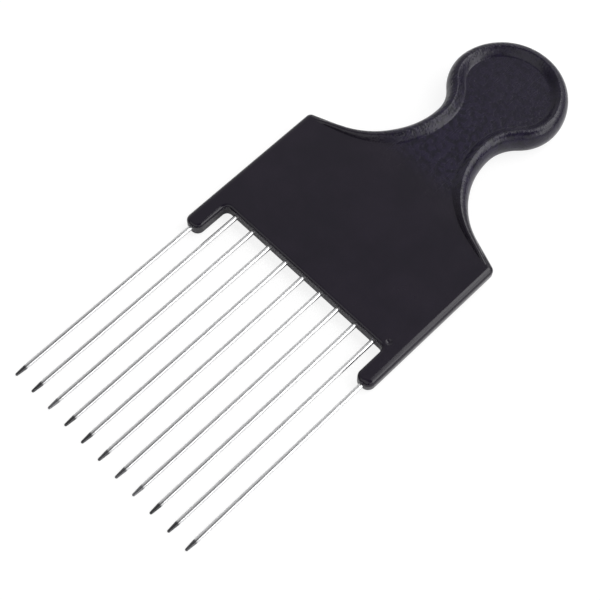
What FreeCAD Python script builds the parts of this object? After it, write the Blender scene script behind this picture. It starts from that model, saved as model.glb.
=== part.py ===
import FreeCAD, Part
import math
import os

# Afro pick: straight steel pins moulded into a flat plastic handle, whose round grip has a raised rim.
# Millimetres. The pick lies on its back: X runs across the pins, +Y from their tips to the grip, +Z up.
# The origin is on the plane that the rim's back rests on, at the middle of the whole length.

# Pins, all alike
pin_count = 11
pin_pitch = 6.3
pin_diameter = 1.4
pin_reach = 70.7
pin_seat = 12.0
tip_length = 4.2
tip_diameter = 0.8
groove_count = 2
groove_depth = 0.2
groove_width = 1.0

# Handle outline, heights measured from the edge that the pins leave
arm_width = 5.2
arm_length = 10.9
arm_end_radius = 2.2
arm_root_radius = 1.6
shoulder_slope = math.radians(22.7)
shoulder_radius = 1.7
neck_height = 61.7
neck_width = 20.2
lower_neck_radius = 23.2
upper_neck_radius = 11.1
grip_width = 35.3
grip_side_radius = 13.5
grip_turn = math.radians(11.0)

# Flat plate of the handle and its rounded edges
plate_thickness = 4.6
plate_setback = 0.3
tooth_edge_rounding = 1.0
side_rounding = 1.6

# Raised rim, alike on both faces: full round the neck and grip, and run out along the shoulders
rim_width = 5.4
rim_thickness = 8.4
rim_foot_sink = 0.02
rim_flow_shares = (0.25, 0.3)
rise_length = 5.0
rise_inset = 0.45
rise_width = 2.9
rise_thickness = 5.8
rim_end_inset = 0.5
rim_end_width = 2.4
rim_end_thickness = 4.3
thin_foot_thickness = 1.0
thin_flow_shares = (0.6, 0.1)
crown_share = 0.5

# Small round moulding mark by one arm
mark_diameter = 1.9
mark_depth = 0.35
mark_inset = 1.8

# Derived places
pin_radius = pin_diameter / 2
tip_radius = tip_diameter / 2
neck_half = neck_width / 2
mid_height = rim_thickness / 2
face_height = mid_height + plate_thickness / 2
rim_foot_thickness = plate_thickness - 2 * rim_foot_sink
half_width = ((pin_count - 1) * pin_pitch + arm_width) / 2
arm_inner_x = half_width - arm_width
lower_centre = FreeCAD.Vector(neck_half + lower_neck_radius, neck_height)
upper_centre = FreeCAD.Vector(neck_half + upper_neck_radius, neck_height)
side_x = grip_width / 2 - grip_side_radius
side_rise = math.sqrt((grip_side_radius + upper_neck_radius) ** 2 - (upper_centre.x - side_x) ** 2)
side_centre = FreeCAD.Vector(side_x, neck_height + side_rise)
top_centre = FreeCAD.Vector(0, side_centre.y - side_x * math.tan(grip_turn))
grip_top_radius = grip_side_radius + side_x / math.cos(grip_turn)
handle_reach = top_centre.y + grip_top_radius
tooth_edge_y = (pin_reach - handle_reach) / 2
shoulder_direction = FreeCAD.Vector(math.cos(shoulder_slope), -math.sin(shoulder_slope))
shoulder_inward = FreeCAD.Vector(-math.sin(shoulder_slope), -math.cos(shoulder_slope))
shoulder_end = lower_centre + shoulder_inward * lower_neck_radius
shoulder_corner = shoulder_end + shoulder_direction * ((half_width - shoulder_end.x) / shoulder_direction.x)
corner_setback = shoulder_radius * math.tan((math.pi / 2 - shoulder_slope) / 2)
shoulder_start = shoulder_corner - shoulder_direction * corner_setback


def mirrored(point):
    """The same point on the other side of the handle."""
    return FreeCAD.Vector(-point.x, point.y, point.z)


def line(start, end):
    return Part.LineSegment(start, end).toShape()


def arc(start, centre, end):
    """Arc of less than half a turn about the centre."""
    middle = (start - centre) + (end - centre)
    middle.Length = (start - centre).Length
    return Part.Arc(start, centre + middle, end).toShape()


def placed(shape):
    """Moves a shape drawn from the tooth edge to its place in the part."""
    return shape.translated(FreeCAD.Vector(0, tooth_edge_y, 0))


def both_sides(shapes):
    """Shapes that follow each other up the right side, then the same ones down the left side."""
    middle = FreeCAD.Vector(0, 0, 0)
    return shapes + [shape.mirror(middle, FreeCAD.Vector(1, 0, 0)) for shape in shapes[::-1]]


def neck_and_grip(inset, start):
    """Right half of the neck and grip, drawn inset from the outline, from a point of the lower neck arc."""
    neck = FreeCAD.Vector(neck_half - inset, neck_height)
    to_neck = upper_centre - side_centre
    to_neck.Length = grip_side_radius - inset
    joint = side_centre + to_neck
    to_turn = FreeCAD.Vector(math.cos(grip_turn), math.sin(grip_turn))
    turn = side_centre + to_turn * (grip_side_radius - inset)
    top = FreeCAD.Vector(0, handle_reach - inset)
    necks = [arc(start, lower_centre, neck), arc(neck, upper_centre, joint)]
    return necks + [arc(joint, side_centre, turn), arc(turn, top_centre, top)]


def side_edges():
    """Right arm and straight side, from the middle of the tooth edge to the start of the shoulder."""
    below = shoulder_corner - FreeCAD.Vector(0, corner_setback)
    points = [
        FreeCAD.Vector(0, 0),
        FreeCAD.Vector(arm_inner_x - arm_root_radius, 0),
        FreeCAD.Vector(arm_inner_x, -arm_root_radius),
        FreeCAD.Vector(arm_inner_x, arm_end_radius - arm_length),
        FreeCAD.Vector(arm_inner_x + arm_end_radius, -arm_length),
        FreeCAD.Vector(half_width - arm_end_radius, -arm_length),
        FreeCAD.Vector(half_width, arm_end_radius - arm_length),
        below,
        shoulder_start,
    ]
    centres = {
        1: FreeCAD.Vector(points[1].x, points[2].y),
        3: FreeCAD.Vector(points[4].x, points[3].y),
        5: FreeCAD.Vector(points[5].x, points[6].y),
        7: below - FreeCAD.Vector(shoulder_radius, 0),
    }
    edges = []
    for number, (first, last) in enumerate(zip(points, points[1:])):
        edges.append(arc(first, centres[number], last) if number in centres else line(first, last))
    return edges


def plate_outline():
    """Outline of the flat plate, set back inside the rim from the shoulders upwards."""
    radius = lower_neck_radius + plate_setback
    to_start = shoulder_start - lower_centre
    turn = math.atan2(to_start.y, to_start.x) - math.acos(radius / to_start.Length)
    touch = lower_centre + FreeCAD.Vector(math.cos(turn), math.sin(turn)) * radius
    right = side_edges() + [line(shoulder_start, touch)] + neck_and_grip(plate_setback, touch)
    return Part.Wire(both_sides(right))


def rounding_at(vertex):
    """Edge rounding wanted at a corner of the outline: small between the arms, larger elsewhere."""
    between_arms = abs(vertex.X) < half_width - arm_width / 2
    return tooth_edge_rounding if between_arms and vertex.Y < arm_length else side_rounding


def plate():
    """The flat plate, with its edges rounded on both faces."""
    slab = Part.Face(plate_outline()).extrude(FreeCAD.Vector(0, 0, plate_thickness))
    slab.translate(FreeCAD.Vector(0, 0, face_height - plate_thickness))
    document = FreeCAD.newDocument("plate")
    base = document.addObject("Part::Feature", "base")
    base.Shape = slab
    roundings = []
    for number, edge in enumerate(slab.Edges, 1):
        first, last = edge.firstVertex(), edge.lastVertex()
        if math.isclose(first.Z, last.Z):
            roundings.append((number, rounding_at(first), rounding_at(last)))
    rounded = document.addObject("Part::Fillet", "rounded")
    rounded.Base = base
    rounded.Edges = roundings
    document.recompute()
    shape = rounded.Shape.copy()
    FreeCAD.closeDocument(document.Name)
    return shape


def rim_section(place, inward, inset, width, thickness, foot_thickness, flow_shares):
    """Section of the rim, square to the outline: oval outside, with flanks that flow into the plate."""
    crown = width * crown_share
    run = width - crown
    top = thickness / 2
    foot = foot_thickness / 2

    def point(depth, height):
        spot = place + inward * (inset + depth)
        return FreeCAD.Vector(spot.x, spot.y, mid_height + height)

    def flank(side):
        """Curve from the crown down to the foot, on one face."""
        bend = (crown + run * flow_shares[0], top)
        hollow = (width - run * flow_shares[1], foot)
        poles = [(crown, top), bend, hollow, (width, foot)]
        curve = Part.BezierCurve()
        curve.setPoles([point(depth, side * height) for depth, height in poles])
        return curve.toShape()

    oval = Part.Ellipse(point(crown, top), point(0, 0), point(crown, 0))
    outer = Part.ArcOfEllipse(oval, 0, math.pi).toShape()
    inner = line(point(width, foot), point(width, -foot))
    return Part.Wire([outer, flank(-1), inner, flank(1)])


def rim():
    """The rim: an even bar round the neck and grip, which thins down the shoulders and ends in the plate."""
    bend_inward = shoulder_inward + FreeCAD.Vector(-1, 0, 0)
    bend_inward.normalize()
    bend = lower_centre + bend_inward * lower_neck_radius
    rise = shoulder_start - shoulder_direction * rise_length
    thin_foot = (thin_foot_thickness, thin_flow_shares)
    full = rim_section(bend, bend_inward, 0, rim_width, rim_thickness, rim_foot_thickness, rim_flow_shares)
    low = rim_section(rise, shoulder_inward, rise_inset, rise_width, rise_thickness, *thin_foot)
    end = rim_section(shoulder_start, shoulder_inward, rim_end_inset, rim_end_width, rim_end_thickness, *thin_foot)
    level = FreeCAD.Vector(0, 0, mid_height)
    down_shoulder = [line(rise, shoulder_end), arc(shoulder_end, lower_centre, bend)]
    end_path = Part.Wire([line(shoulder_start, rise)]).translated(level)
    tail_path = Part.Wire(down_shoulder).translated(level)
    bar_path = Part.Wire(both_sides(neck_and_grip(0, bend))).translated(level)
    tail = [end_path.makePipeShell([end, low], True), tail_path.makePipeShell([low, full], True)]
    return both_sides(tail) + [bar_path.makePipeShell([full], True)]


def moulding_mark():
    """Ball that leaves the shallow round mark in the front face, where one arm meets the tooth edge."""
    ball_radius = (mark_diameter ** 2 / 4 + mark_depth ** 2) / (2 * mark_depth)
    place = FreeCAD.Vector(arm_inner_x, mark_inset, face_height - mark_depth + ball_radius)
    return Part.makeSphere(ball_radius, place)


def pin():
    """One pin on the middle line: tapered tip, straight wire and grooves in its buried end."""
    tip_y = -pin_reach
    points = [
        FreeCAD.Vector(tip_radius, tip_y + tip_radius),
        FreeCAD.Vector(pin_radius, tip_y + tip_length),
    ]
    groove_radius = pin_radius - groove_depth
    for groove in range(groove_count):
        top = pin_seat - 2 * (groove_count - groove) * groove_width
        points.append(FreeCAD.Vector(pin_radius, top))
        points.append(FreeCAD.Vector(groove_radius, top + groove_depth))
        points.append(FreeCAD.Vector(groove_radius, top + groove_width - groove_depth))
        points.append(FreeCAD.Vector(pin_radius, top + groove_width))
    points.append(FreeCAD.Vector(pin_radius, pin_seat))
    points.append(FreeCAD.Vector(0, pin_seat))
    end = FreeCAD.Vector(0, tip_y)
    profile = [arc(end, FreeCAD.Vector(0, tip_y + tip_radius), points[0])]
    profile += [line(first, last) for first, last in zip(points, points[1:])]
    profile.append(line(points[-1], end))
    half = Part.Face(Part.Wire(profile))
    wire = half.revolve(FreeCAD.Vector(0, 0, 0), FreeCAD.Vector(0, 1, 0), 360)
    return wire.translated(FreeCAD.Vector(0, 0, mid_height))


def handle(pins):
    """The moulded handle, closed round the buried ends of the pins."""
    return plate().fuse(rim()).cut([moulding_mark()] + pins)


pin_places = [(number - (pin_count - 1) / 2) * pin_pitch for number in range(pin_count)]
pins = [pin().translated(FreeCAD.Vector(x, 0, 0)) for x in pin_places]
nodes = {"handle": handle(pins)}
for number, shape in enumerate(pins, 1):
    nodes[f"pin_{number:02d}"] = shape

os.makedirs("parts", exist_ok=True)
for name, shape in nodes.items():
    piece = placed(shape)
    piece.exportStep(f"parts/{name}.step")
    print(name, piece.isValid(), len(piece.Solids), round(piece.Volume, 2))
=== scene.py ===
import math

import bpy
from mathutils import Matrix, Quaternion, Vector


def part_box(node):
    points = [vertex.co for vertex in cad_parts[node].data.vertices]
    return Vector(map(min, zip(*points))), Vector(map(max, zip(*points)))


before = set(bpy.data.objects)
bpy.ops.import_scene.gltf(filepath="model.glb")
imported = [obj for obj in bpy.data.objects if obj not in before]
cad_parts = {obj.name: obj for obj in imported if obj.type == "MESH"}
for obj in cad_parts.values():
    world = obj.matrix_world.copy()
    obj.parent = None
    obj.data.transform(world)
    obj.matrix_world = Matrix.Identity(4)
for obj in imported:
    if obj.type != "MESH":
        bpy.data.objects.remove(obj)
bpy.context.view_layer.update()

millimetre = 0.001
white = (1.0, 1.0, 1.0, 1.0)

# Camera at the photograph's viewing angle: degrees, metres, pixels of a square image
camera_azimuth = 45.262
camera_elevation = 64.959
camera_distance = 0.3423
camera_target = Vector((0.00398, -0.017964, 0.0042))
camera_nearest = 0.01
image_side = 600
focal_pixels = 1324.95
sensor_width = 36.0

# Floor: metres and degrees; the lifts brighten it where it is seen or mirrored, and shed no light
floor_side = 6.0
floor_tilt = 1.85
floor_support = 0.032
floor_white = 0.90
floor_lift = 0.832
floor_evenness = 0.75
floor_gloss_lift = 0.12

# Room: how its light grows along X, Y and Z, its level at the middle, and the least there is
room_slope = (-0.62, 0.40, 0.26)
room_light = -0.095
room_least = 0.12

# Softboxes: a long key beyond the grip, brighter at its upper end, and three weaker fills
softbox_distance = 2.0
softboxes = {
    "key_upper": {
        "azimuth": 154.5, "elevation": 54.1, "roll": 27.2,
        "length": 1.36, "width": 0.97, "radiance": 3.9,
    },
    "key_lower": {
        "azimuth": 115.7, "elevation": 27.8, "roll": 53.9,
        "length": 1.36, "width": 0.97, "radiance": 2.8,
    },
    "side_fill": {
        "azimuth": 84.0, "elevation": 25.0, "roll": 0.0,
        "length": 1.7, "width": 1.3, "radiance": 1.15,
    },
    "tip_fill": {
        "azimuth": 3.0, "elevation": 46.0, "roll": 0.0,
        "length": 2.4, "width": 1.8, "radiance": 0.95,
    },
    "back_fill": {
        "azimuth": 178.0, "elevation": 26.0, "roll": 0.0,
        "length": 3.2, "width": 1.1, "radiance": 0.80,
    },
}

# Handle colours, each between a darker and a paler tone; on the neck and grip the darker tone is partly
# painted shade in the hollows of the grain
body_dark = (0.0074, 0.0050, 0.0118)
body_pale = (0.0102, 0.0068, 0.0150)
neck_dark = (0.0024, 0.0010, 0.0095)
neck_pale = (0.0102, 0.0064, 0.0240)
grip_dark = (0.0048, 0.0028, 0.0125)
grip_pale = (0.0094, 0.0060, 0.0205)

# Where a finish of the handle begins and is full, in millimetres down from the top of the grip
grain_place = (65.5, 47.5)
neck_place = (55.5, 46.5)
grip_place = (33.5, 19.5)
worn_place = (23.5, 7.5)

# Rim creases, in millimetres: depths under the crown where they begin and are full, half width of their fade
crease_depth = (1.5, 0.8)
crease_fade = 8.0

# Handle grain: cell size and height in millimetres, how much each pattern adds, and what wear takes away
grain_cell = 1.2
grain_height = 0.06
grain_strength = 1.0
cell_slope = 0.5
pebble_amount = 0.3
fine_amount = 1.6
crease_amount = 3.0
worn_share = 0.4
rubbed_share = 0.7

# Handle gloss, and the slow waves of a moulded face in millimetres
plastic_ior = 1.42
smooth_roughness = 0.18
grain_roughness = 0.26
cloud_roughness = 0.10
scuff_roughness = 0.08
wave_height = 0.1
wave_strength = 0.25

# Pin finish: the length of the darker tip, the fade above it and the height of tool marks in millimetres
steel_colour = (0.80, 0.80, 0.81)
tip_dark = (0.10, 0.10, 0.105)
tip_pale = (0.25, 0.25, 0.26)
tip_length = 3.0
tip_fade = 0.7
steel_roughness = 0.16
stain_roughness = 0.08
tip_roughness = 0.06
drawn_roughness = 0.06
mark_height = 0.01
mark_strength = 0.35

# Noise patterns: scale and stretch count waves in a millimetre
fine_noise = {"scale": 0.6, "detail": 2.0}
crease_noise = {"scale": 1.5, "detail": 2.0}
cloud_noise = {"scale": 0.09, "detail": 5.0, "roughness": 0.6}
scuff_noise = {"stretch": (3.0, 0.15, 1.0), "detail": 3.0, "roughness": 0.7}
wave_noise = {"scale": 0.16, "detail": 1.0}
drawn_noise = {"stretch": (9.0, 0.05, 9.0), "detail": 3.0, "roughness": 0.6}
turned_noise = {"stretch": (0.4, 9.0, 0.4), "detail": 3.0, "roughness": 0.6}
stain_noise = {"scale": 0.5, "detail": 4.0, "roughness": 0.6}
tip_noise = {"stretch": (0.13, 0.0, 0.0), "detail": 1.0}
noise_middle = 0.5

# Noise levels between which a pattern goes from none to full
# The grain tone's levels also set the painted shade in the grain's hollows
grain_tone_and_pore_shade_levels = (0.34, 0.60)
cloud_levels = (0.35, 0.70)
scuff_levels = (0.55, 0.80)
stain_levels = (0.45, 0.80)
tip_levels = (0.45, 0.60)


def direction(azimuth, elevation):
    """Unit vector towards a place seen from the pick; azimuth 0 is beyond the pins' tips."""
    turn = math.radians(azimuth)
    rise = math.radians(elevation)
    return Vector((math.sin(turn) * math.cos(rise), -math.cos(turn) * math.cos(rise), math.sin(rise)))


class Socket:
    """One output of a shader node. Sums and products of sockets and numbers add Math nodes."""

    def __init__(self, finish, output):
        self.finish = finish
        self.output = output

    def math(self, operation, first, second):
        return self.finish.node("Math", {"operation": operation}, {0: first, 1: second})

    def __add__(self, other):
        return self.math("ADD", self, other)

    def __sub__(self, other):
        return self.math("SUBTRACT", self, other)

    def __rsub__(self, other):
        return self.math("SUBTRACT", other, self)

    def __mul__(self, other):
        return self.math("MULTIPLY", self, other)

    __radd__ = __add__
    __rmul__ = __mul__

    def at_least(self, other):
        return self.math("MAXIMUM", self, other)

    def step(self, low, high):
        """Smooth rise from 0 at low to 1 at high."""
        settings = {"interpolation_type": "SMOOTHSTEP"}
        return self.finish.node("MapRange", settings, {"Value": self, "From Min": low, "From Max": high})


class Finish:
    """A material, or the world, whose nodes are added one by one."""

    def __init__(self, tree):
        self.tree = tree
        tree.nodes.clear()

    def node(self, kind, settings=None, inputs=None, output=0):
        """Adds a shader node: first its settings, then the values or links of its sockets."""
        made = self.tree.nodes.new("ShaderNode" + kind)
        for name, value in (settings or {}).items():
            setattr(made, name, value)
        for name, value in (inputs or {}).items():
            if isinstance(value, Socket):
                self.tree.links.new(value.output, made.inputs[name])
            else:
                made.inputs[name].default_value = value
        return Socket(self, made.outputs[output]) if made.outputs else made

    def mix_colour(self, factor, first, second):
        """From the first colour to the second: a Mix node has them at inputs 6 and 7 and output 2."""
        def full(colour):
            return colour if isinstance(colour, Socket) else (*colour, 1.0)

        inputs = {"Factor": factor, 6: full(first), 7: full(second)}
        return self.node("Mix", {"data_type": "RGBA"}, inputs, output=2)

    def place(self, stretch=(1.0, 1.0, 1.0)):
        """Place on the object in millimetres, multiplied by stretch along X, Y and Z."""
        spot = self.node("TexCoord", output="Object")
        factors = tuple(factor / millimetre for factor in stretch)
        return self.node("VectorMath", {"operation": "MULTIPLY"}, {0: spot, 1: factors})

    def axis(self, letter):
        """Place along X, Y or Z on the object in millimetres."""
        return self.node("SeparateXYZ", {}, {0: self.place()}, output=letter)

    def noise(self, scale=1.0, stretch=(1.0, 1.0, 1.0), detail=1.0, roughness=0.5):
        inputs = {"Vector": self.place(stretch), "Scale": scale, "Detail": detail, "Roughness": roughness}
        return self.node("TexNoise", {}, inputs)

    def bump(self, height, depth, strength, under=None):
        """Relief of a height pattern, whose full depth is in millimetres, over another relief if given."""
        inputs = {"Height": height, "Distance": depth * millimetre, "Strength": strength}
        if under is not None:
            inputs["Normal"] = under
        return self.node("Bump", {}, inputs)


def new_finish(name):
    material = bpy.data.materials.new(name)
    material.use_nodes = True
    return material, Finish(material.node_tree)


def handle_plastic():
    """Near-black moulded plastic: smooth on the wide body, leather grain on the neck and grip, with shade
    painted darker into the grain's hollows.
    """
    material, make = new_finish("handle_plastic")
    low, high = [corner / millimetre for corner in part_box("handle")]
    x, y, z = [make.axis(letter) for letter in "XYZ"]

    def towards_grip(place):
        begins, full = place
        return y.step(high.y - begins, high.y - full)

    grained = towards_grip(grain_place)
    fine = make.noise(**fine_noise)
    cloud = make.noise(**cloud_noise)

    # Leather grain, worn towards the top of the grip
    cells = make.node(
        "TexVoronoi",
        {"feature": "DISTANCE_TO_EDGE"},
        {"Vector": make.place(), "Scale": 1 / grain_cell},
    )
    pebbles = cells.step(0.0, cell_slope)
    worn = 1 - towards_grip(worn_place) * worn_share
    leather = (pebbles * pebble_amount + fine * fine_amount) * worn

    # Creases on the rim of both faces, rubbed smoother on the right
    deep, shallow = crease_depth
    front_rim = z.step(high.z - deep, high.z - shallow)
    back_rim = 1 - z.step(low.z + shallow, low.z + deep)
    rubbed = 1 - x.step(-crease_fade, crease_fade) * rubbed_share
    creases = (make.noise(**crease_noise) - noise_middle) * (front_rim + back_rim) * rubbed * crease_amount

    waves = make.bump(make.noise(**wave_noise), wave_height, wave_strength)
    relief = make.bump((leather + creases) * grained, grain_height, grain_strength, under=waves)

    # Painted shade: the fine noise that raises the grain also colours it, darker in its hollows and paler on
    # its tops; the rest is the neck's and grip's own tint
    grain_tone_and_pore_shade = fine.step(*grain_tone_and_pore_shade_levels)
    body = make.mix_colour(cloud.step(*cloud_levels), body_dark, body_pale)
    neck = make.mix_colour(grain_tone_and_pore_shade, neck_dark, neck_pale)
    grip = make.mix_colour(grain_tone_and_pore_shade, grip_dark, grip_pale)
    above_body = make.mix_colour(towards_grip(neck_place), body, neck)
    colour = make.mix_colour(towards_grip(grip_place), above_body, grip)

    scuffs = make.noise(**scuff_noise).step(*scuff_levels)
    roughness = smooth_roughness + (grain_roughness - smooth_roughness) * grained
    roughness = roughness + (cloud - noise_middle) * cloud_roughness + scuffs * scuff_roughness
    shader = make.node(
        "BsdfPrincipled",
        {},
        {"Base Color": colour, "Roughness": roughness, "IOR": plastic_ior, "Normal": relief},
    )
    make.node("OutputMaterial", {}, {"Surface": shader})
    return material


def pin_steel():
    """Bright drawn steel wire with fine lines along it, and a rougher tip coloured darker, with turned
    marks.
    """
    material, make = new_finish("pin_steel")
    tip_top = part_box("pin_01")[0].y / millimetre + tip_length
    tip_zone = 1 - make.axis("Y").step(tip_top, tip_top + tip_fade)
    drawn = make.noise(**drawn_noise)
    turned = make.noise(**turned_noise)
    stain = make.noise(**stain_noise).step(*stain_levels)
    tip = make.mix_colour(make.noise(**tip_noise).step(*tip_levels), tip_dark, tip_pale)
    colour = make.mix_colour(tip_zone, steel_colour, tip)
    roughness = steel_roughness + stain * stain_roughness + tip_zone * tip_roughness + drawn * drawn_roughness
    marks = make.bump(drawn * (1 - tip_zone) + turned * tip_zone, mark_height, mark_strength)
    shader = make.node(
        "BsdfPrincipled",
        {},
        {"Base Color": colour, "Metallic": 1.0, "Roughness": roughness, "Normal": marks},
    )
    make.node("OutputMaterial", {}, {"Surface": shader})
    return material


def floor_paper():
    """Matt white sweep that keeps the pick's soft shadow and is lifted to white where it is looked at."""
    material, make = new_finish("floor_paper")
    diffuse = make.node("BsdfDiffuse", {}, {"Color": (floor_white, floor_white, floor_white, 1.0)})
    rays = ("Is Camera Ray", "Is Glossy Ray", "Is Transmission Ray")
    camera, glossy, through = [make.node("LightPath", output=ray) for ray in rays]
    seen = camera.at_least(through)
    faint = make.node("MixShader", {}, {0: seen * floor_evenness, 1: diffuse})
    lift = seen * floor_lift + glossy * floor_gloss_lift
    glow = make.node("Emission", {}, {"Color": white, "Strength": lift})
    shader = make.node("AddShader", {}, {0: faint, 1: glow})
    make.node("OutputMaterial", {}, {"Surface": shader})
    return material


def set_room():
    """Dim walls, lightest across the pick from the camera and darkest behind it."""
    world = bpy.data.worlds.new("room")
    bpy.context.scene.world = world
    world.use_nodes = True
    make = Finish(world.node_tree)
    towards = make.node("TexCoord", output="Generated")
    dot_product = {"operation": "DOT_PRODUCT"}
    slope = make.node("VectorMath", dot_product, {0: towards, 1: room_slope}, output="Value")
    strength = (slope + room_light).at_least(room_least)
    light = make.node("Background", {}, {"Color": white, "Strength": strength})
    make.node("OutputWorld", {}, {"Surface": light})


def add_softbox(name, azimuth, elevation, roll, length, width, radiance):
    """A lamp that faces the pick, turned about its own axis by roll."""
    towards = direction(azimuth, elevation)
    bpy.ops.object.light_add(type="AREA", location=towards * softbox_distance)
    lamp = bpy.context.object
    lamp.name = name
    turn = towards.to_track_quat("Z", "Y") @ Quaternion((0.0, 0.0, 1.0), math.radians(roll))
    lamp.rotation_euler = turn.to_euler()
    lamp.data.shape = "RECTANGLE"
    lamp.data.size = length
    lamp.data.size_y = width
    lamp.data.energy = radiance * math.pi * length * width


def add_floor():
    """The pick lies on the back of its rim and the tips of its pins, so the floor is tilted under it."""
    bpy.ops.object.select_all(action="DESELECT")
    bpy.ops.mesh.primitive_plane_add(
        size=floor_side,
        location=(0.0, floor_support, 0.0),
        rotation=(math.radians(-floor_tilt), 0.0, 0.0),
    )
    floor = bpy.context.object
    floor.name = "floor"
    floor.data.materials.append(floor_paper())


def add_camera():
    towards = direction(camera_azimuth, camera_elevation)
    bpy.ops.object.camera_add(location=camera_target + towards * camera_distance)
    camera = bpy.context.object
    camera.name = "camera"
    camera.rotation_euler = towards.to_track_quat("Z", "Y").to_euler()
    camera.data.sensor_width = sensor_width
    camera.data.lens = focal_pixels * sensor_width / image_side
    camera.data.clip_start = camera_nearest
    bpy.context.scene.camera = camera


def dress(node, material):
    """Gives a CAD node its finish."""
    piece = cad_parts[node]
    piece.data.materials.clear()
    piece.data.materials.append(material)


bpy.context.scene.view_settings.view_transform = "Standard"
set_room()
for name, softbox in softboxes.items():
    add_softbox(name, **softbox)
add_floor()
add_camera()

plastic = handle_plastic()
steel = pin_steel()
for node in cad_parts:
    dress(node, plastic if node == "handle" else steel)
